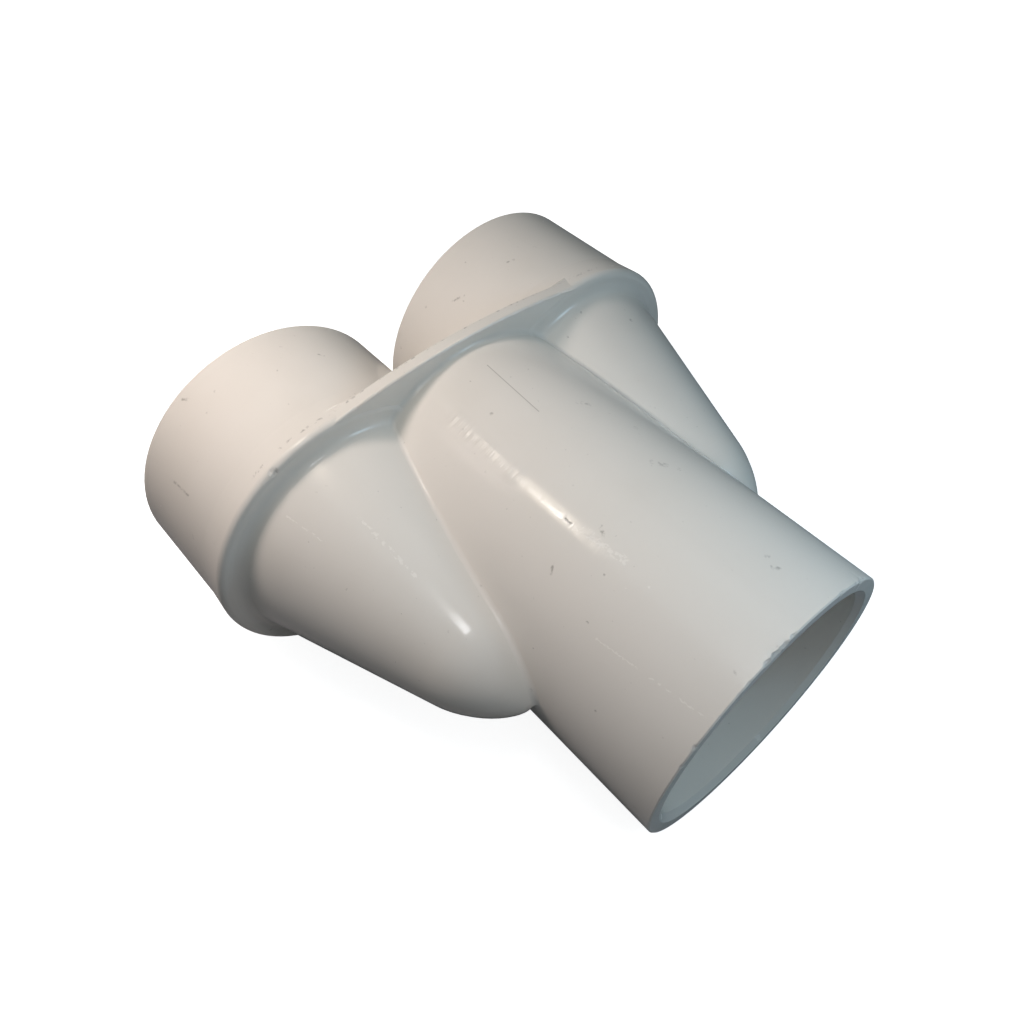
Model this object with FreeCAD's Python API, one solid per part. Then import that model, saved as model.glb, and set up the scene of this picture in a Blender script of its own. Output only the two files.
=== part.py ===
import FreeCAD, Part
import math
import os

# Parallel wye fitting, moulded in one piece.
# Two socket cups stand side by side behind a shoulder. Two tapered branches lead from them into
# one straight trunk. The trunk's axis is X, its mouth faces +X, and the cups lie at -Y and +Y.
# It is built with the trunk's axis on X and the shoulder rings' front faces at x = 0, and then
# moved so that the origin is the middle of its footprint, on the surface that it lies on.

# Trunk, with a parallel spigot at its mouth and a little draft behind that
trunk_radius = 30.15
trunk_draft_angle = 0.13
trunk_wall = 3.9
trunk_length = 82.9
spigot_gap = 1.2
mouth_lead = 1.2
mouth_edge_break = 0.25

# Socket cups, a hair smaller than the trunk, with a gap between them
cup_step = 0.1
cup_gap = 3.4
cup_bore_radius = 24.15
cup_length = 31.5
cup_depth = 28.5
cup_lead = 1.0
cup_edge_break = 0.2

# Shoulder rings at the front of the cups
ring_proud = 0.6
ring_length = 7.2
ring_rounding = 1.5

# Web plate that joins the rings and stands a little over the trunk, highest in the middle
web_recess = 0.25
web_thickness = 2.6
web_stand = 2.95
web_crown = 3.0
web_rounding = 0.5

# Tapered branches, whose roots stand a step inside the cups' outside
branch_root_step = 3.85
branch_taper_angle = 18.7
branch_cone_length = 41.0
branch_length = 54.8
nose_shoulder = 48.8
nose_bluntness = 2.7
branch_wall = 3.9
branch_root_fillet = 2.6

# Blends where the moulding's forms meet
crease_fillet = 1.1
web_back_fillet = 2.4
trunk_end_wall = 3.8

cup_radius = trunk_radius - cup_step
cup_spacing = 2 * cup_radius + cup_gap
branch_root_radius = cup_radius - branch_root_step
web_back = -web_recess - web_thickness
web_height = trunk_radius + web_stand
taper = math.radians(branch_taper_angle)


def vec(x, y, z=0.0):
    return FreeCAD.Vector(x, y, z)


def revolve_about_x(edges):
    """Solid made by turning a closed outline, drawn with Y as the radius, about the X axis."""
    face = Part.Face(Part.Wire(edges))
    return face.revolve(vec(0, 0), vec(1, 0), 360)


def line(start, end):
    return Part.LineSegment(start, end).toShape()


def corner_arc(corner, before, after, radius):
    """Start, middle and end of the arc that rounds a corner between two unit directions."""
    half = before.getAngle(after) / 2
    reach = radius / math.tan(half)
    depth = radius / math.sin(half) - radius
    middle = corner + (before + after).normalize() * depth
    return corner + before * reach, middle, corner + after * reach


def rounded_outline(points, radii):
    """Closed outline through the points, each corner rounded by its own radius, none where 0."""
    count = len(points)
    corners = []
    for i in range(count):
        corner = points[i]
        before = (points[i - 1] - corner).normalize()
        after = (points[(i + 1) % count] - corner).normalize()
        if radii[i] > 0:
            corners.append(corner_arc(corner, before, after, radii[i]))
        else:
            corners.append((corner, None, corner))
    edges = []
    for i in range(count):
        arrive, middle, leave = corners[i]
        if middle is not None:
            edges.append(Part.Arc(arrive, middle, leave).toShape())
        edges.append(line(leave, corners[(i + 1) % count][0]))
    return edges


def blend_ring(corner, outward, forward, radius):
    """Ring about the X axis that fills an inner corner with a concave round."""
    start, middle, end = corner_arc(corner, outward, forward, radius)
    buried = corner - (outward + forward).normalize() * radius
    edges = [Part.Arc(start, middle, end).toShape(), line(end, buried), line(buried, start)]
    return revolve_about_x(edges)


def on_cone(x, root):
    """Point of a branch's cone line, which starts with the root radius in the plane x = 0."""
    return vec(x, root - x * math.tan(taper))


def bezier(poles):
    curve = Part.BezierCurve()
    curve.setPoles(poles)
    return curve.toShape()


def branch_outside():
    """Cone with a bullet nose, on the X axis."""
    back = vec(web_back, branch_root_radius)
    front = on_cone(0, branch_root_radius)
    nose_start = on_cone(branch_cone_length, branch_root_radius)
    shoulder = on_cone(nose_shoulder, branch_root_radius)
    tip = vec(branch_length, 0)
    nose = bezier([nose_start, shoulder, vec(branch_length, nose_bluntness), tip])
    start = vec(web_back, 0)
    skin = [line(back, front), line(front, nose_start), nose]
    return revolve_about_x([line(start, back)] + skin + [line(tip, start)])


def branch_passage():
    """Hollow that runs from a cup's mouth through its branch, one wall inside the cone."""
    root = branch_root_radius - branch_wall / math.cos(taper)
    end_x = branch_cone_length - branch_wall
    points = [
        vec(-cup_length, 0),
        vec(-cup_length, root),
        on_cone(0, root),
        on_cone(end_x, root),
        vec(branch_length - branch_wall, 0),
    ]
    return revolve_about_x(rounded_outline(points, [0] * len(points)))


def root_blend():
    """Concave ring where a branch's cone stands on the front face of its shoulder."""
    along_cone = vec(math.cos(taper), -math.sin(taper))
    return blend_ring(vec(0, branch_root_radius), vec(0, 1), along_cone, branch_root_fillet)


def web_back_blend():
    """Concave rings where the cups stand out of the web's back, cut to the web's outline."""
    corner = vec(web_back, cup_radius)
    ring = blend_ring(corner, vec(0, 1), vec(-1, 0), web_back_fillet)
    cut = web_outline().extrude(vec(-web_back_fillet, 0))
    return [ring_at_cup.common(cut) for ring_at_cup in at_cups(ring)]


def cup_outside():
    """Cup that flares into its shoulder ring, solid inside, on the X axis."""
    points = [
        vec(-cup_length, 0),
        vec(-cup_length, cup_radius - cup_edge_break),
        vec(-cup_length + cup_edge_break, cup_radius),
        vec(-ring_length, cup_radius),
        vec(0, cup_radius + ring_proud),
        vec(0, 0),
    ]
    return revolve_about_x(rounded_outline(points, [0, 0, 0, 0, ring_rounding, 0]))


def cup_hollow():
    """Socket bore with its lead-in chamfer, open at the cup's mouth."""
    bottom = cup_depth - cup_length
    points = [
        vec(-cup_length, 0),
        vec(-cup_length, cup_bore_radius + cup_lead),
        vec(-cup_length + cup_lead, cup_bore_radius),
        vec(bottom, cup_bore_radius),
        vec(bottom, 0),
    ]
    return revolve_about_x(rounded_outline(points, [0] * len(points)))


def trunk_outside():
    spigot_start = branch_length + spigot_gap
    draft = (spigot_start - web_back) * math.tan(math.radians(trunk_draft_angle))
    points = [
        vec(web_back, 0),
        vec(web_back, trunk_radius + draft),
        vec(spigot_start, trunk_radius),
        vec(trunk_length - mouth_edge_break, trunk_radius),
        vec(trunk_length, trunk_radius - mouth_edge_break),
        vec(trunk_length, 0),
    ]
    return revolve_about_x(rounded_outline(points, [0] * len(points)))


def trunk_hollow():
    bore = trunk_radius - trunk_wall
    bore_start = web_back + trunk_end_wall
    points = [
        vec(bore_start, 0),
        vec(bore_start, bore),
        vec(trunk_length - mouth_lead, bore),
        vec(trunk_length, bore + mouth_lead),
        vec(trunk_length, 0),
    ]
    return revolve_about_x(rounded_outline(points, [0] * len(points)))


def web_outline():
    """Face in the plane of the web's back, with a shallow crown along its top and bottom."""
    side = cup_spacing / 2
    end_height = web_height - web_crown
    top_left = vec(web_back, -side, end_height)
    top_right = vec(web_back, side, end_height)
    low_left = vec(web_back, -side, -end_height)
    low_right = vec(web_back, side, -end_height)
    crown = Part.Arc(top_left, vec(web_back, 0, web_height), top_right).toShape()
    keel = Part.Arc(low_right, vec(web_back, 0, -web_height), low_left).toShape()
    return Part.Face(Part.Wire([crown, line(top_right, low_right), keel, line(low_left, top_left)]))


def web_plate():
    """Plate between the cups' axes."""
    plate = web_outline().extrude(vec(web_thickness, 0))
    return plate.makeFillet(web_rounding, [edge for edge in plate.Edges if is_crown_front(edge)])


def is_crown_front(edge):
    """True for the curved edges along the top and bottom of the web plate's front."""
    return edge.Curve.TypeId == "Part::GeomCircle" and edge.Curve.Center.x > web_back


def at_cups(shape):
    """The shape once at each cup's axis."""
    copies = []
    for side in (-1, 1):
        copy = shape.copy()
        copy.translate(vec(0, side * cup_spacing / 2))
        copies.append(copy)
    return copies


def is_trunk_skin(face):
    """True for the drafted face behind the spigot, whose axis is the trunk's own."""
    surface = face.Surface
    return surface.TypeId == "Part::GeomCone" and surface.Center.y == 0


def trunk_creases(body):
    """Edges where the trunk's skin meets a branch, a shoulder ring or the web."""
    skin_edges = [edge for face in body.Faces if is_trunk_skin(face) for edge in face.Edges]
    return [edge for edge in skin_edges if edge.CenterOfMass.x < branch_length]


def wye_fitting():
    outside_forms = [web_plate()] + web_back_blend()
    outside_forms += at_cups(cup_outside()) + at_cups(branch_outside()) + at_cups(root_blend())
    outside = trunk_outside().fuse(outside_forms).removeSplitter()
    outside = outside.makeFillet(crease_fillet, trunk_creases(outside))
    hollows = [trunk_hollow()] + at_cups(cup_hollow()) + at_cups(branch_passage())
    return outside.cut(hollows).removeSplitter()


os.makedirs("parts", exist_ok=True)
shape = wye_fitting()
shape.translate(vec((cup_length - trunk_length) / 2, 0, web_height))
shape.exportStep("parts/wye_fitting.step")
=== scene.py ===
# %% [markdown]
# # A moulded pipe fitting
# The real object joins two pipes that lie side by side into one. It comes out of its mould as a
# single piece of off-white plastic: two sockets behind a shoulder, two tapered branches and a
# trunk. The CAD part gives its exact shape. This lesson adds what CAD leaves out: the nicks and
# scratches of handling, a plastic with a moulded skin, and the light that it was seen in.

import math
import random

import bmesh
import bpy
from mathutils import Matrix, Vector, noise


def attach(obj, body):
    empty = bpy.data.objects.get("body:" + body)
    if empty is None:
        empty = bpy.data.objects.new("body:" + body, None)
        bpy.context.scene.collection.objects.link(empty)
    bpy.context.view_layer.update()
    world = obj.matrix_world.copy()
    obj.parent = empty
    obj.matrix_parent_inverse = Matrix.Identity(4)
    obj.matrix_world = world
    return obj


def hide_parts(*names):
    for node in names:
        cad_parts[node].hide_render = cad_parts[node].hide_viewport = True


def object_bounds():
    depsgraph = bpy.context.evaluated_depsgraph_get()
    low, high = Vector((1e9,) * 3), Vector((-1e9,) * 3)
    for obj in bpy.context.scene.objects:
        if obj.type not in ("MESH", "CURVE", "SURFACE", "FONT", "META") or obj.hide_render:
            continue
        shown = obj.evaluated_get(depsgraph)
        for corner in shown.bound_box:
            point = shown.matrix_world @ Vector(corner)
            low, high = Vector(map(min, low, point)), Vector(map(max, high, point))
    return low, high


mm = 0.001
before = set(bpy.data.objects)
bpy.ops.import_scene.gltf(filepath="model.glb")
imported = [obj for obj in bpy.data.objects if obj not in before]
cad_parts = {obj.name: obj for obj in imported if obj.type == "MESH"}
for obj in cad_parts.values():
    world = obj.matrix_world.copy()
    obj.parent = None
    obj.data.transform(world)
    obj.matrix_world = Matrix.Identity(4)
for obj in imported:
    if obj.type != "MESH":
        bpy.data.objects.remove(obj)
cad_low, cad_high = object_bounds()
cad_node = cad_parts["wye_fitting"]
print("CAD box in mm:", [round(side / mm, 1) for side in cad_high - cad_low])

# %% [markdown]
# Later steps speak of the trunk's axis and its mouth. Their places are measured on the CAD mesh,
# so that the nicks stay on the mouth's edge when the part's sizes change. The trunk lies along X,
# and its axis is halfway up the part.

# %% Measure the trunk and its mouth
axis_height = (cad_low.z + cad_high.z) / 2
mouth_x = cad_high.x
mouth_slice = 0.5 * mm


def radius_from_axis(point):
    """How far a point is from the trunk's axis."""
    return math.hypot(point.y, point.z - axis_height)


mouth_points = [v.co for v in cad_node.data.vertices if v.co.x > mouth_x - mouth_slice]
trunk_radius = max(radius_from_axis(point) for point in mouth_points)
print("trunk radius in mm:", round(trunk_radius / mm, 2))

# %% [markdown]
# ## The moulding
# The CAD mesh is loose triangles: each CAD face was meshed by itself, and each triangle corner
# has the exact direction of the true surface there. Merging the doubles makes one closed skin
# that can be cut and dented. It would also mix those directions up, and long thin triangles would
# then show as streaks in the gloss. So each corner first stores its direction in a layer, which
# Blender shares out along an edge when a cut divides it.

# %% Merge a copy of the CAD mesh
merge_distance = 0.001 * mm


def merged_copy(node):
    """A node's mesh as one closed skin, with every corner's true normal kept in a layer."""
    normals = [0.0] * (3 * len(node.data.loops))
    node.data.corner_normals.foreach_get("vector", normals)
    skin = bmesh.new()
    skin.from_mesh(node.data)
    kept = skin.loops.layers.float_vector.new("true_normal")
    corners = [corner for face in skin.faces for corner in face.loops]
    for i, corner in enumerate(corners):
        corner[kept] = Vector(normals[3 * i : 3 * i + 3])
    bmesh.ops.remove_doubles(skin, verts=skin.verts, dist=merge_distance)
    return skin


moulding = merged_copy(cad_node)
open_edges = [edge for edge in moulding.edges if not edge.is_manifold]
print("merged skin:", len(moulding.verts), "points,", len(open_edges), "open edges")

# %% [markdown]
# ## Nicks
# The trunk's sharp end and the shoulder have been knocked about: along the mouth's upper edge the
# plastic is ragged, and one ring has lost a crumb. A bump map can't break an outline, so these
# are real dents. Planes first cut a fine grid into the faces round a place, which gives points to
# move, and then the points sink, each by its own amount.

# %% Cut a grid where the plastic is nicked
snap_distance = 0.005 * mm


def near_along(axis, places, reach):
    """True where points, counted from a centre, come within reach of it along one axis."""
    return min(p[axis] for p in places) < reach and max(p[axis] for p in places) > -reach


def faces_near(skin, centre, reach):
    """Faces whose box comes within reach of a point."""
    found = []
    for face in skin.faces:
        places = [v.co - centre for v in face.verts]
        if all(near_along(axis, places, reach) for axis in range(3)):
            found.append(face)
    return found


def cut_grid(skin, centre, reach, directions, cuts):
    """Cuts planes across each direction through the faces round a point."""
    near = faces_near(skin, centre, reach)
    parts = [part for face in near for part in (face, *face.edges, *face.verts)]
    parts = list(dict.fromkeys(parts))
    for direction in directions:
        for i in range(cuts):
            place = centre + direction * reach * ((2 * i + 1) / cuts - 1)
            plane = {"plane_co": place, "plane_no": direction}
            done = bmesh.ops.bisect_plane(skin, geom=parts, dist=snap_distance, **plane)
            parts = done["geom"]


# %% [markdown]
# A nick is deepest in the middle and fades out at its rim. Blender's own noise makes the depth
# uneven, and it gives the same value at the same place in every run.

# %% Sink the points of a nick
dented = moulding.verts.layers.int.new("dented")
crumb_size = 0.45 * mm
even_part = 0.65
uneven_part = 0.5


def nick(skin, centre, inward, reach, depth, cuts=4):
    """Breaks a crumb of plastic out of an edge, toward the inward direction."""
    along = inward.cross(Vector((1, 0, 0))).normalized()
    across = inward.cross(along).normalized()
    cut_grid(skin, centre, reach, (along, across, inward), cuts)
    moved = 0
    for point in skin.verts:
        away = (point.co - centre).length / reach
        if away < 1:
            rough = even_part + uneven_part * noise.noise(point.co / crumb_size)
            point.co += inward * depth * (1 - away * away) * rough
            point[dented] = 1
            moved += 1
    return moved


# %% [markdown]
# The mouth's nicks sit on the outer edge of the end face. Their places are angles round the trunk,
# counted from the side of the right socket over the top, which is at 90. The largest cluster is a
# little left of the top, another nick is far to its right, and small ones follow the edge on both
# sides. Each row is an angle in degrees, a reach and a depth in mm.

# %% Nick the mouth's edge
lean_to_axis = 0.4


def mouth_edge(angle):
    """Point on the mouth's outer edge, and the direction from there into the plastic."""
    turn = math.radians(angle)
    outward = Vector((0, math.cos(turn), math.sin(turn)))
    point = Vector((mouth_x, 0, axis_height)) + outward * trunk_radius
    return point, (-lean_to_axis * outward - Vector((1, 0, 0))).normalized()


mouth_nicks = [
    (105, 1.5, 0.6),
    (101, 1.0, 0.4),
    (109, 1.0, 0.4),
    (56, 1.1, 0.45),
    (72, 0.8, 0.3),
    (142, 0.8, 0.35),
]
small_nicks = 14
chips = random.Random(11)
for _ in range(small_nicks):
    angle = chips.uniform(52, 150)
    reach = chips.uniform(0.4, 0.8)
    depth = chips.uniform(0.1, 0.25)
    mouth_nicks.append((angle, reach, depth))
moved = 0
for angle, reach, depth in mouth_nicks:
    edge_point, inward = mouth_edge(angle)
    moved += nick(moulding, edge_point, inward, reach * mm, depth * mm)
print("mouth nicks:", len(mouth_nicks), "with", moved, "points")

# %% [markdown]
# The left shoulder ring has lost one crumb from the rounded front of its rim. It sinks toward the
# left socket's axis.

# %% Knock a crumb out of the left ring
socket_offset = 31.75 * mm
ring_chip = Vector((-26.0 * mm, -44.8 * mm, 60.0 * mm))
left_axis = Vector((ring_chip.x, -socket_offset, axis_height))
chip_reach = 1.0 * mm
chip_depth = 0.45 * mm
chip_inward = (left_axis - ring_chip).normalized()
moved = nick(moulding, ring_chip, chip_inward, chip_reach, chip_depth)
print("ring chip:", moved, "points")

# %% [markdown]
# The finished mesh gets its shading from the stored directions. Only the faces of a dent use
# their own, because the plastic broke there and its facets should catch the light.

# %% Make the fitting's object
def corner_normals(skin):
    """A normal for each corner: the true one, or the face's own where the plastic is dented."""
    kept = skin.loops.layers.float_vector["true_normal"]
    normals = []
    for face in skin.faces:
        broken = any(point[dented] for point in face.verts)
        for corner in face.loops:
            normals.append(face.normal.copy() if broken else corner[kept].normalized())
    return normals


moulding.normal_update()
fitting_mesh = bpy.data.meshes.new("fitting")
shading = corner_normals(moulding)
for face in moulding.faces:
    face.smooth = True
moulding.to_mesh(fitting_mesh)
moulding.free()
fitting_mesh.normals_split_custom_set(shading)
fitting_mesh.attributes.remove(fitting_mesh.attributes["true_normal"])
fitting = bpy.data.objects.new("fitting", fitting_mesh)
bpy.context.scene.collection.objects.link(fitting)
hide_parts("wye_fitting")
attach(fitting, "root")
print("fitting:", len(fitting_mesh.polygons), "faces")

# %% [markdown]
# ## The plastic
# Rigid PVC is nearly white, a little warm, and glossy, and this piece has been handled: it has
# small dark scuffs, hairline scratches and a few rubbed patches. Each effect is a node group that
# takes a place on the object and gives a mask, so the same group can be used many times with
# different values. Small helpers place nodes and link them.

# %% Helpers for placing nodes
def emptied_tree(owner):
    """The node tree of a material or a world, without the nodes that it comes with."""
    owner.use_nodes = True
    owner.node_tree.nodes.clear()
    return owner.node_tree


def add(tree, kind, sources=(), **settings):
    """Adds a node. Sources are (input, output socket or plain value); settings are its options."""
    node = tree.nodes.new(kind)
    for option, value in settings.items():
        setattr(node, option, value)
    for socket, source in sources:
        if isinstance(source, bpy.types.NodeSocket):
            tree.links.new(source, node.inputs[socket])
        else:
            node.inputs[socket].default_value = source
    return node


def maths(tree, operation, a, b=0.0):
    """Output of a Math node."""
    return add(tree, "ShaderNodeMath", [(0, a), (1, b)], operation=operation).outputs[0]


def ramp(tree, value, start, end, low=0.0, high=1.0):
    """Smooth step of a value from start to end, as a number from low to high."""
    sources = [("Value", value), ("From Min", start), ("From Max", end)]
    sources += [("To Min", low), ("To Max", high)]
    node = add(tree, "ShaderNodeMapRange", sources, interpolation_type="SMOOTHSTEP")
    return node.outputs["Result"]


# %% [markdown]
# The next helpers work on places. A noise texture's scale counts its lumps in a metre, so the
# small marks of a hand-sized object need scales of about a thousand.

# %% Helpers for vectors, noise and groups
def vector_maths(tree, operation, a, b=(0, 0, 0)):
    """A Vector Math node. Its answer is at Vector or at Value, as the operation has it."""
    return add(tree, "ShaderNodeVectorMath", [(0, a), (1, b)], operation=operation)


def scaled(tree, vector, factor):
    """A vector times a number."""
    sources = [(0, vector), ("Scale", factor)]
    return add(tree, "ShaderNodeVectorMath", sources, operation="SCALE").outputs["Vector"]


def noise_texture(tree, spot, scale, detail, roughness=0.5):
    """A Noise Texture node that is read at a place."""
    sources = [("Vector", spot), ("Scale", scale), ("Detail", detail), ("Roughness", roughness)]
    return add(tree, "ShaderNodeTexNoise", sources)


def new_group(name, inputs, outputs):
    """An empty shader node group with named sockets. Returns it with its two end nodes."""
    group = bpy.data.node_groups.new(name, "ShaderNodeTree")
    for label, kind, value in inputs:
        socket = group.interface.new_socket(label, in_out="INPUT", socket_type=kind)
        if value is not None:
            socket.default_value = value
    for label, kind in outputs:
        group.interface.new_socket(label, in_out="OUTPUT", socket_type=kind)
    return group, group.nodes.new("NodeGroupInput"), group.nodes.new("NodeGroupOutput")


# %% [markdown]
# A scratch is a straight line across a curved surface. The group measures how far a place is from
# the line between two ends, and gives 1 on the line and 0 beyond its width. With both ends at the
# same place it makes a round spot, and the least square keeps its division from failing there.

# %% Group: one scratch
least_square = 1e-9


def scratch_group():
    """Builds the group for one scratch."""
    inputs = [
        ("Place", "NodeSocketVector", None),
        ("Start", "NodeSocketVector", None),
        ("End", "NodeSocketVector", None),
        ("Width", "NodeSocketFloat", 0.3 * mm),
    ]
    group, into, out = new_group("scratch", inputs, [("Mask", "NodeSocketFloat")])
    given = into.outputs
    here = vector_maths(group, "SUBTRACT", given["Place"], given["Start"]).outputs["Vector"]
    line = vector_maths(group, "SUBTRACT", given["End"], given["Start"]).outputs["Vector"]
    reach = vector_maths(group, "DOT_PRODUCT", here, line).outputs["Value"]
    square = vector_maths(group, "DOT_PRODUCT", line, line).outputs["Value"]
    share = maths(group, "DIVIDE", reach, maths(group, "MAXIMUM", square, least_square))
    share = maths(group, "MINIMUM", maths(group, "MAXIMUM", share, 0.0), 1.0)
    away = vector_maths(group, "DISTANCE", here, scaled(group, line, share)).outputs["Value"]
    in_widths = maths(group, "DIVIDE", away, given["Width"])
    mask = ramp(group, in_widths, start=0.2, end=1.0, low=1.0, high=0.0)
    group.links.new(mask, out.inputs["Mask"])
    return group


scratch = scratch_group()
print("group:", scratch.name, [item.name for item in scratch.interface.items_tree])

# %% [markdown]
# A mark that is a perfect line looks drawn. This group pushes a place about by a fine noise, so
# that whatever is measured from it gets a ragged edge, and a second noise breaks a mark up.

# %% Group: ragged edges
noise_middle = (0.5, 0.5, 0.5)


def ragged_group():
    """Builds the group that makes marks ragged."""
    inputs = [("Place", "NodeSocketVector", None), ("Push", "NodeSocketFloat", 0.8 * mm)]
    outputs = [("Place", "NodeSocketVector"), ("Breaks", "NodeSocketFloat")]
    group, into, out = new_group("ragged", inputs, outputs)
    spot = into.outputs["Place"]
    grain = noise_texture(group, spot, scale=1600.0, detail=2.0)
    push = vector_maths(group, "SUBTRACT", grain.outputs["Color"], noise_middle)
    push = scaled(group, push.outputs["Vector"], into.outputs["Push"])
    pushed = vector_maths(group, "ADD", spot, push).outputs["Vector"]
    crumbs = noise_texture(group, spot, scale=1100.0, detail=2.0)
    breaks = ramp(group, crumbs.outputs["Fac"], start=0.4, end=0.64)
    group.links.new(pushed, out.inputs["Place"])
    group.links.new(breaks, out.inputs["Breaks"])
    return group


ragged = ragged_group()
print("group:", ragged.name, [item.name for item in ragged.interface.items_tree])

# %% [markdown]
# Scuffs are small dark specks that lie anywhere. A Voronoi texture drops one point in each cell of
# a grid, and the point's random colour decides whether that cell gets a scuff. Only points that
# fall close to the plastic's skin are seen.

# %% Group: scattered scuffs
def scuffs_group():
    """Builds the group for scattered scuffs. Their size is a share of a cell."""
    inputs = [
        ("Place", "NodeSocketVector", None),
        ("Cells per Metre", "NodeSocketFloat", 120.0),
        ("Share", "NodeSocketFloat", 0.2),
        ("Size", "NodeSocketFloat", 0.06),
    ]
    group, into, out = new_group("scuffs", inputs, [("Mask", "NodeSocketFloat")])
    given = into.outputs
    sources = [("Vector", given["Place"]), ("Scale", given["Cells per Metre"])]
    cells = add(group, "ShaderNodeTexVoronoi", sources + [("Randomness", 1.0)], feature="F1")
    draws = add(group, "ShaderNodeSeparateColor", [("Color", cells.outputs["Color"])])
    chosen = maths(group, "LESS_THAN", draws.outputs["Red"], given["Share"])
    varied = ramp(group, draws.outputs["Green"], start=0.0, end=1.0, low=0.5, high=1.5)
    size = maths(group, "MULTIPLY", given["Size"], varied)
    in_sizes = maths(group, "DIVIDE", cells.outputs["Distance"], size)
    speck = ramp(group, in_sizes, start=0.4, end=1.0, low=1.0, high=0.0)
    group.links.new(maths(group, "MULTIPLY", speck, chosen), out.inputs["Mask"])
    return group


scuffs = scuffs_group()
print("group:", scuffs.name, [item.name for item in scuffs.interface.items_tree])

# %% [markdown]
# Hairlines are the fine scratches of rubbing. They show only where they cross a reflection, as a
# comb of bright ticks. A noise that changes fast along the trunk and slowly round it gives lines
# that run round the fitting, and a second, slower noise keeps them in patches.

# %% Group: hairlines round the fitting
slow_change = 70.0


def hairlines_group():
    """Builds the group for hairlines."""
    inputs = [
        ("Place", "NodeSocketVector", None),
        ("Lines per Metre", "NodeSocketFloat", 2500.0),
        ("Patchiness", "NodeSocketFloat", 0.5),
    ]
    group, into, out = new_group("hairlines", inputs, [("Height", "NodeSocketFloat")])
    given = into.outputs
    axes = add(group, "ShaderNodeSeparateXYZ", [("Vector", given["Place"])]).outputs
    along = maths(group, "MULTIPLY", axes["X"], given["Lines per Metre"])
    across = maths(group, "MULTIPLY", axes["Y"], slow_change)
    upward = maths(group, "MULTIPLY", axes["Z"], slow_change)
    stretched = add(group, "ShaderNodeCombineXYZ", [("X", along), ("Y", across), ("Z", upward)])
    lines = noise_texture(group, stretched.outputs["Vector"], scale=1.0, detail=2.0)
    patches = noise_texture(group, given["Place"], scale=110.0, detail=1.0)
    patchiness = given["Patchiness"]
    worn = ramp(group, patches.outputs["Fac"], start=patchiness, end=0.7, low=0.25, high=1.0)
    group.links.new(maths(group, "MULTIPLY", lines.outputs["Fac"], worn), out.inputs["Height"])
    return group


hairlines = hairlines_group()
print("group:", hairlines.name, [item.name for item in hairlines.interface.items_tree])

# %% [markdown]
# Now the plastic itself. Its colour is the base, made a little uneven by a slow noise, then darker
# where there are scuffs, scratches and the dirt that has settled on the back edge of the web
# between the sockets, and paler along scrapes and painted highlights. Dirt and scuffs are dull, so
# the same masks raise the roughness. The index of refraction is that of rigid PVC.

# %% Start the plastic
pvc_index = 1.53
plastic = bpy.data.materials.new("moulded_pvc")
tree = emptied_tree(plastic)
surface = add(tree, "ShaderNodeOutputMaterial")
shader = add(tree, "ShaderNodeBsdfPrincipled", [("IOR", pvc_index)])
tree.links.new(shader.outputs["BSDF"], surface.inputs["Surface"])
place = add(tree, "ShaderNodeTexCoord").outputs["Object"]


def group_mask(group, spot, **values):
    """Output of a group placed in the plastic, with its own place and values."""
    node = add(tree, "ShaderNodeGroup", node_tree=group)
    tree.links.new(spot, node.inputs["Place"])
    for label, value in values.items():
        node.inputs[label.replace("_", " ")].default_value = value
    return node.outputs[0]


def line_mask(start, end, width, spot):
    """Mask of one scratch, its ends and width in mm."""
    ends = {"Start": Vector(start) * mm, "End": Vector(end) * mm}
    return group_mask(scratch, spot, Width=width * mm, **ends)


def joined(masks):
    """The strongest of several masks."""
    total = masks[0]
    for mask in masks[1:]:
        total = maths(tree, "MAXIMUM", total, mask)
    return total


# %% [markdown]
# A few marks stand out enough to be placed one by one: a long dark scratch on top of the trunk,
# scuffs beside it, a streak low on the left socket and a smear on the right one. Pale lines add
# scrapes and spots, and two of them are painted highlights: the streak on the left branch and part
# of the streak on the trunk. Each is a line between two places, with a width, all in mm.

# %% List the marks
long_line = ((-19.7, 0.3, 63.36), (-3.8, -0.7, 63.3), 0.15)
# Three of the dark lines lie right over dents: the chip in the left ring, and the nicks at 105 and
# 56 degrees on the mouth's edge. They darken those dents.
dark_lines = [
    ((-1.4, 7.2, 62.4), (0.2, 8.6, 62.0), 0.7),
    ((22.0, -10.0, 61.5), (23.8, -11.2, 61.1), 0.4),
    ((20.0, -19.0, 56.5), (20.9, -20.2, 55.6), 0.35),
    ((16.2, -12.8, 60.4), (17.6, -12.9, 60.4), 0.3),
    ((18.4, 6.6, 62.5), (20.2, 8.0, 62.1), 0.8),
    ((-46.4, -57.2, 49.1), (-40.9, -56.9, 49.6), 0.35),
    ((-46.3, 13.0, 56.5), (-45.0, 14.9, 58.0), 0.5),
    ((-45.9, -21.8, 61.4), (-45.2, -20.9, 61.2), 0.45),
    ((-42.9, 26.0, 62.6), (-42.3, 27.4, 62.8), 0.4),
    ((-55.2, -47.6, 58.6), (-54.0, -46.9, 59.1), 0.4),
    ((-26.0, -45.2, 59.8), (-26.0, -44.4, 60.2), 0.7),
    ((12.9, -37.3, 45.0), (12.9, -36.9, 45.2), 0.4),
    ((47.0, 4.0, 63.1), (47.6, 4.6, 63.0), 0.6),
    ((56.5, -25.2, 23.1), (56.5, -23.9, 21.6), 0.6),
    ((57.0, -8.8, 62.0), (56.9, -6.9, 62.4), 0.6),
    ((57.0, 16.6, 57.8), (57.0, 17.6, 57.3), 0.5),
]
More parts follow.
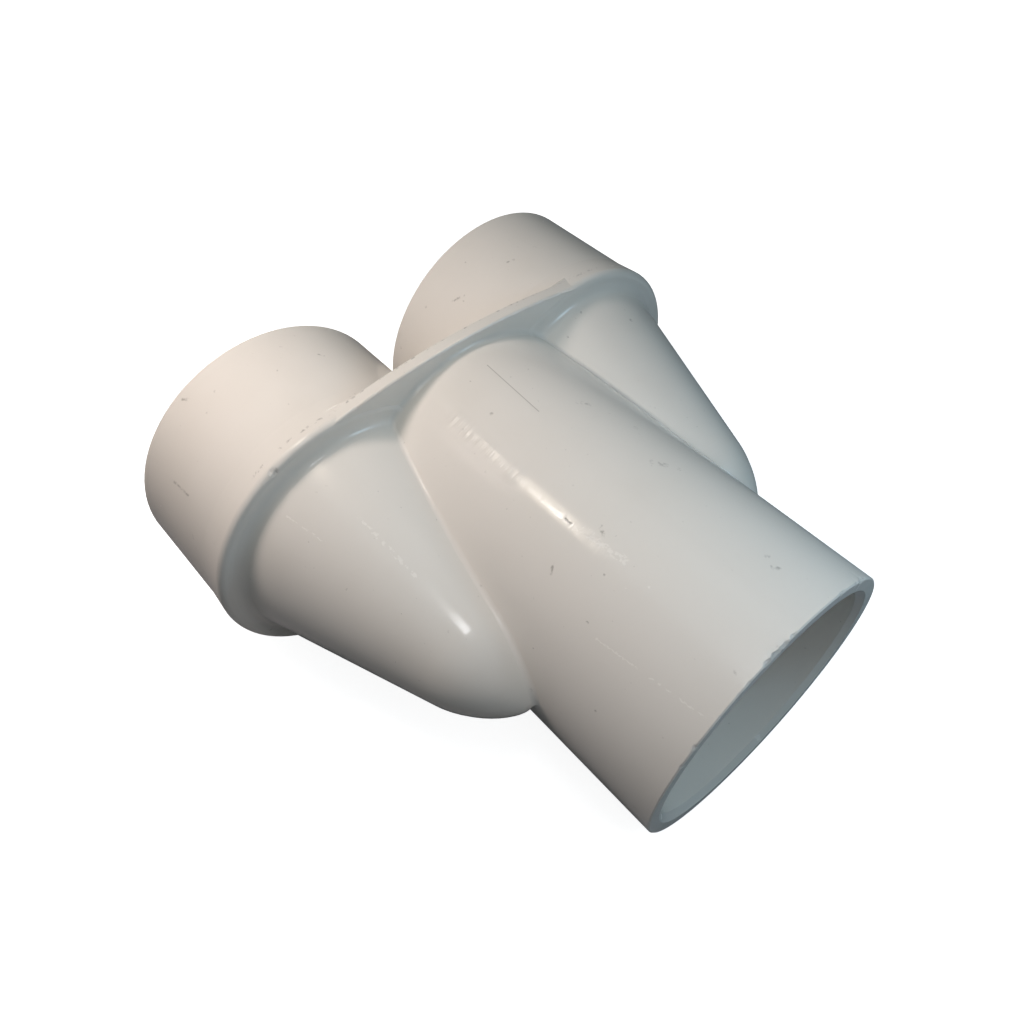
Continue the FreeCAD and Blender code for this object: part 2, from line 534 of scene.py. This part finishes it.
# Pale lines. The first is a scratch. The second is a painted highlight, the dotted streak along
# the left branch. The third is a painted highlight too, part of the trunk's streak ahead of its
# hot middle. Then come two pale spots beside that streak, a pale spot in the bore and a thin pale
# line along the trunk.
pale_lines_and_highlights = [
    ((-21.6, -46.4, 53.1), (-13.3, -44.1, 51.3), 0.25),
    ((-12.4, -37.1, 54.1), (2.2, -35.5, 49.4), 0.6),
    ((20.5, -12.4, 60.6), (29.2, -11.9, 60.9), 1.2),
    ((32.7, -14.7, 59.4), (32.7, -14.7, 59.4), 0.45),
    ((35.5, -12.4, 60.6), (35.5, -12.4, 60.6), 0.4),
    ((56.4, 8.1, 7.7), (56.4, 8.1, 7.7), 1.2),
    ((34.0, -22.3, 53.4), (55.6, -20.4, 55.3), 0.25),
]
print("marks:", len(dark_lines) + 1, "dark,", len(pale_lines_and_highlights), "pale")

# %% [markdown]
# The long scratch is clean and thin, so it is measured from the plain place. The others are
# measured from the pushed place and broken up. The rest of the scuffs are scattered in three
# sizes, each row with its cells in a metre, the share of cells that hold one, and its size.

# %% Place the marks
long_scratch = line_mask(*long_line, place)
roughened = add(tree, "ShaderNodeGroup", [("Place", place)], node_tree=ragged)
ragged_place = roughened.outputs["Place"]
breaks = roughened.outputs["Breaks"]


def broken_up(masks):
    """Several masks as one, with gaps in it."""
    return maths(tree, "MULTIPLY", joined(masks), breaks)


dark_marks = broken_up([line_mask(*line, ragged_place) for line in dark_lines])
pale_marks_and_highlights = broken_up([line_mask(*line, ragged_place) for line in pale_lines_and_highlights])
scuff_sorts = [(170.0, 0.8, 0.075), (330.0, 0.4, 0.075), (640.0, 0.3, 0.09)]
scuff_masks = []
for cells, share, size in scuff_sorts:
    values = {"Cells_per_Metre": cells, "Share": share, "Size": size}
    scuff_masks.append(group_mask(scuffs, ragged_place, **values))
scattered = broken_up(scuff_masks)
print("sorts of scattered scuffs:", len(scuff_masks))

# %% [markdown]
# The web's top is a narrow band that runs from socket to socket in a shallow arc. Its back edge is
# sharp and holds a thin line of dirt. The mask is the product of two: one for places near the
# plane of the web's back, and one for places near the arc, measured from the arc's centre. A
# noise leaves the dirt in patches.

# %% Dirt on the web's back edge
web_back_x = -28.55 * mm
crown_rise = 3.0 * mm
crown_radius = (socket_offset**2 + crown_rise**2) / (2 * crown_rise)
crown_centre = (0, 0, cad_high.z - crown_radius)
axes = add(tree, "ShaderNodeSeparateXYZ", [("Vector", place)]).outputs
from_back = maths(tree, "ABSOLUTE", maths(tree, "SUBTRACT", axes["X"], web_back_x))
dirt_full = 0.1 * mm
dirt_end = 0.45 * mm
on_back = ramp(tree, from_back, dirt_full, dirt_end, low=1.0, high=0.0)
flat = add(tree, "ShaderNodeCombineXYZ", [("Y", axes["Y"]), ("Z", axes["Z"])])
from_centre = vector_maths(tree, "DISTANCE", flat.outputs["Vector"], crown_centre)
crown_start = crown_radius - 0.6 * mm
crown_full = crown_radius - 0.2 * mm
on_crown = ramp(tree, from_centre.outputs["Value"], crown_start, crown_full)
crumbs = noise_texture(tree, place, scale=900.0, detail=3.0)
patchy = ramp(tree, crumbs.outputs["Fac"], start=0.5, end=0.68)
edge_dirt = maths(tree, "MULTIPLY", maths(tree, "MULTIPLY", on_back, on_crown), patchy)
print("crown radius in mm:", round(crown_radius / mm, 1))

# %% [markdown]
# The colours are laid over each other like glazes, each as strong as its mask times a number. A
# Mix node has a set of sockets for every kind of data. Those for colours share their names with
# the others, so they are given by number.

# %% Mix the colour
mix_factor, mix_below, mix_above, mix_result = 0, 6, 7, 2


def mixed(mask, strength, below, above):
    """Colour that goes from below to above where the mask is strong."""
    amount = maths(tree, "MULTIPLY", mask, strength)
    sources = [(mix_factor, amount), (mix_below, below), (mix_above, above)]
    return add(tree, "ShaderNodeMix", sources, data_type="RGBA").outputs[mix_result]


fresh_plastic = (0.76, 0.735, 0.69, 1.0)
aged_plastic = (0.70, 0.67, 0.615, 1.0)
scuff_grey = (0.16, 0.145, 0.13, 1.0)
# Pale colour for scrapes, which also paints the highlights of the pale lines.
scrape_and_highlight_white = (0.93, 0.91, 0.87, 1.0)
glazes = [
    (scattered, 0.5, scuff_grey),
    (dark_marks, 0.55, scuff_grey),
    (long_scratch, 0.45, scuff_grey),
    (edge_dirt, 0.6, scuff_grey),
    (pale_marks_and_highlights, 0.3, scrape_and_highlight_white),
]
clouds = noise_texture(tree, place, scale=28.0, detail=3.0)
aged = ramp(tree, clouds.outputs["Fac"], start=0.4, end=0.7)
aged_strength = 0.5
colour = mixed(aged, aged_strength, fresh_plastic, aged_plastic)
for mask, strength, tint in glazes:
    colour = mixed(mask, strength, colour, tint)
tree.links.new(colour, shader.inputs["Base Color"])
print("glazes over the plastic's own colour:", len(glazes))

# %% [markdown]
# Gloss decides how sharp a reflection is. Clean skin has a roughness between 0.11 and 0.2 here,
# which wanders with a noise like smudges of hands, and marks and dirt add to it.

# %% Set the gloss
clean_roughness = 0.11
smudged_roughness = 0.2
mark_dullness = 0.35
smudges = noise_texture(tree, place, scale=65.0, detail=4.0, roughness=0.6)
smudged = ramp(tree, smudges.outputs["Fac"], 0.35, 0.7, clean_roughness, smudged_roughness)
dull_masks = [scattered, dark_marks, edge_dirt, pale_marks_and_highlights]
dull = maths(tree, "MULTIPLY", joined(dull_masks), mark_dullness)
tree.links.new(maths(tree, "ADD", smudged, dull), shader.inputs["Roughness"])
print("roughness:", clean_roughness, "to", smudged_roughness + mark_dullness)

# %% [markdown]
# The skin isn't perfectly smooth either. Heights in mm are added up and go into one Bump node: the
# slow waves of a moulded surface, the hairlines, and the marks, which cut into it. Along one
# stretch of the trunk the rubbing was harder. Coarser lines lie there, deep at the back and
# shallow further on, and they break the trunk's highlight into a comb of ticks.

# %% Set the relief
wave_height = 0.010
hairline_height = 0.0016
mark_depth = 0.02
rubbed_height = 0.25
brushed_height = 0.07
waves = noise_texture(tree, place, scale=120.0, detail=1.0)
comb_back = (-19.0, -12.2, 60.9)
comb_middle = (3.0, -12.6, 60.5)
comb_front = (26.0, -12.6, 60.5)
rubbed_width = 2.6
brushed_width = 3.5
rubbed = line_mask(comb_back, comb_middle, rubbed_width, place)
brushed = line_mask(comb_middle, comb_front, brushed_width, place)
deep_part = maths(tree, "MULTIPLY", rubbed, rubbed_height)
comb_height = maths(tree, "ADD", deep_part, maths(tree, "MULTIPLY", brushed, brushed_height))
comb = group_mask(hairlines, place, Lines_per_Metre=1200.0, Patchiness=0.3)
marks = joined([long_scratch, scattered, dark_marks, pale_marks_and_highlights])
height = maths(tree, "MULTIPLY", waves.outputs["Fac"], wave_height)
height = maths(tree, "ADD", height, maths(tree, "MULTIPLY", comb, comb_height))
fine_lines = maths(tree, "MULTIPLY", group_mask(hairlines, place), hairline_height)
height = maths(tree, "ADD", height, fine_lines)
height = maths(tree, "SUBTRACT", height, maths(tree, "MULTIPLY", marks, mark_depth))
bump = add(tree, "ShaderNodeBump", [("Height", height), ("Strength", 1.0), ("Distance", 1.0 * mm)])
tree.links.new(bump.outputs["Normal"], shader.inputs["Normal"])
fitting_mesh.materials.append(plastic)
print("plastic:", len(tree.nodes), "nodes")

# %% [markdown]
# ## The floor
# The object lies on plain white paper. Seen by the camera, most of the floor's white is its own
# light, so it comes out white at any lamp level. The rest is an ordinary matt surface, which
# keeps a soft shadow under the object. Everything else in the scene sees a darker matt surface
# without that light. A Light Path node tells the two kinds of ray apart. Far from the object the
# own light is full, so the floor has no visible end. Distances are in metres.

# %% Lay the floor
floor_reach = 2.0
floor_gap = 0.1 * mm
pure_white = (1.0, 1.0, 1.0, 1.0)
matt_white = (0.8, 0.8, 0.8, 1.0)
dim_grey = (0.32, 0.32, 0.33, 1.0)
shadow_reach = 0.08
plain_from = 0.2


def seen_by_camera(tree, unseen, seen):
    """Shader that shows the camera one thing, and everything else another."""
    camera_ray = add(tree, "ShaderNodeLightPath").outputs["Is Camera Ray"]
    sources = [(0, camera_ray), (1, unseen.outputs[0]), (2, seen.outputs[0])]
    return add(tree, "ShaderNodeMixShader", sources).outputs[0]


def floor_material():
    """Matt paper that looks white to the camera and still takes a shadow."""
    material = bpy.data.materials.new("white_paper")
    paper = emptied_tree(material)
    spot = add(paper, "ShaderNodeTexCoord").outputs["Object"]
    away = vector_maths(paper, "LENGTH", spot).outputs["Value"]
    own_light = ramp(paper, away, shadow_reach, plain_from, low=0.9, high=1.0)
    matt = add(paper, "ShaderNodeBsdfDiffuse", [("Color", matt_white)])
    glow = add(paper, "ShaderNodeEmission", [("Color", pure_white), ("Strength", own_light)])
    seen = add(paper, "ShaderNodeAddShader", [(0, matt.outputs[0]), (1, glow.outputs[0])])
    unseen = add(paper, "ShaderNodeBsdfDiffuse", [("Color", dim_grey)])
    add(paper, "ShaderNodeOutputMaterial", [("Surface", seen_by_camera(paper, unseen, seen))])
    return material


sheet = bmesh.new()
bmesh.ops.create_grid(sheet, x_segments=1, y_segments=1, size=floor_reach)
bmesh.ops.translate(sheet, verts=sheet.verts, vec=(0, 0, cad_low.z - floor_gap))
floor_mesh = bpy.data.meshes.new("floor")
sheet.to_mesh(floor_mesh)
sheet.free()
floor_mesh.materials.append(floor_material())
floor = bpy.data.objects.new("floor", floor_mesh)
bpy.context.scene.collection.objects.link(floor)
print("floor:", [round(side, 2) for side in floor.dimensions], "m")

# %% [markdown]
# ## The light
# A warm lamp hangs close over the left socket, which makes that socket the brightest part and
# leaves crisp shadows at the roots of the branches. A cool one stands in front over the trunk, a
# wide one hangs high above, and a blue one at the right reaches into the bore. Two wide ones light
# the right side and the back. Some are kept out of reflections. The camera doesn't see the lamps.

# %% Hang the lamps that light the plastic
warm = (1.0, 0.865, 0.805)
cool = (0.9, 0.94, 1.0)
high_white = (0.9, 1.0, 0.99)
blue = (0.52, 0.81, 1.0)
daylight = (0.9, 0.95, 1.0)
cream = (1.0, 0.97, 0.93)


def lamp(name, place, aim, size, colour, watts, along=(1, 0, 0), in_gloss=True):
    """A rectangular lamp, its place, aim and size in mm, its longer side along a direction."""
    light = bpy.data.lights.new(name, "AREA")
    light.shape = "RECTANGLE"
    light.size, light.size_y = size[0] * mm, size[1] * mm
    light.color = colour
    light.energy = watts
    hung = bpy.data.objects.new(name, light)
    forward = (Vector(aim) - Vector(place)).normalized()
    side = Vector(along) - forward * forward.dot(Vector(along))
    side.normalize()
    up = (-forward).cross(side)
    turn = Matrix((side, up, -forward)).transposed().to_4x4()
    hung.matrix_world = Matrix.Translation(Vector(place) * mm) @ turn
    hung.visible_camera = False
    hung.visible_glossy = in_gloss
    bpy.context.scene.collection.objects.link(hung)
    return hung


wide_lamps = [
    lamp("main_lamp", (-86, -82, 172), (-20, -20, 33), (30, 30), warm, 0.129, in_gloss=False),
    lamp("front_lamp", (98, -26, 158), (20, 0, 33), (90, 90), cool, 0.039, in_gloss=False),
    lamp("top_lamp", (0, 0, 600), (0, 0, 33), (500, 500), high_white, 0.262),
    lamp("right_lamp", (113, 81, 133), (50, 0, 20), (60, 60), blue, 0.056),
    lamp("side_lamp", (-60, 450, 100), (0, 20, 33), (300, 160), daylight, 0.06, in_gloss=False),
    lamp("back_lamp", (-450, 40, 110), (-50, 0, 33), (300, 160), cream, 0.48, (0, 1, 0)),
]
print("wide lamps:", [hung.name for hung in wide_lamps])

# %% [markdown]
# What the gloss shows instead are four small lamps. A warm one with a hot middle makes the streak
# on the trunk, a narrow one its tail over the comb of ticks, and one the spot on the left branch's
# nose. They are weak, so that they add little light elsewhere.

# %% Hang the lamps that make the highlights
amber = (1.0, 0.86, 0.68)
rosy = (1.0, 0.93, 0.88)
cool_white = (0.97, 0.98, 1.0)
tail_along = (-50, 19, -5)
small_lamps = [
    lamp("streak_lamp", (-41, -50, 162), (13, -13, 60), (34, 26), amber, 0.0135),
    lamp("core_lamp", (-36, -50, 158), (14, -13, 60), (8, 6), cream, 0.003),
    lamp("tail_lamp", (-65, -41, 160), (0, -13, 60), (54, 6), rosy, 0.003, tail_along),
    lamp("nose_lamp", (50, -46, 190), (15, -34, 45), (13, 34), cool_white, 0.02),
]
print("small lamps:", [hung.name for hung in small_lamps])

# %% [markdown]
# The world adds a dim cool fill, which lifts the shadows a little. Only the camera sees it white,
# like the floor, so the two meet without a line.

# %% Set the world
dim_cool = (0.045, 0.055, 0.06, 1.0)
world = bpy.data.worlds.new("studio")
sky = emptied_tree(world)
fill = add(sky, "ShaderNodeBackground", [("Color", dim_cool), ("Strength", 1.0)])
white = add(sky, "ShaderNodeBackground", [("Color", pure_white), ("Strength", 1.0)])
add(sky, "ShaderNodeOutputWorld", [("Surface", seen_by_camera(sky, fill, white))])
bpy.context.scene.world = world
print("world:", world.name, len(sky.nodes), "nodes")

# %% [markdown]
# ## The camera
# The camera's place and turn were solved from the outlines of the trunk, the rings and the
# sockets in the photograph. Its three axes are given as directions, which become the columns of
# its matrix.

# %% Place the camera
camera_data = bpy.data.cameras.new("camera")
camera_data.sensor_width = 36.0
camera_data.lens = 30.851
camera_data.clip_start = 0.005
camera = bpy.data.objects.new("camera", camera_data)
camera_place = Vector((0.07958, -0.08229, 0.17898))
right = Vector((0.66257486, 0.74895659, 0.00765315))
up = Vector((-0.58809573, 0.51388513, 0.62455222))
back = Vector((0.46382967, -0.41831339, 0.78094555))
turn = Matrix((right, up, back)).transposed().to_4x4()
camera.matrix_world = Matrix.Translation(camera_place) @ turn
bpy.context.scene.collection.objects.link(camera)
bpy.context.scene.camera = camera
bpy.context.scene.view_settings.view_transform = "Standard"
place_in_mm = [round(side / mm) for side in camera_place]
print("camera: lens", round(camera_data.lens, 3), "mm, at", place_in_mm)
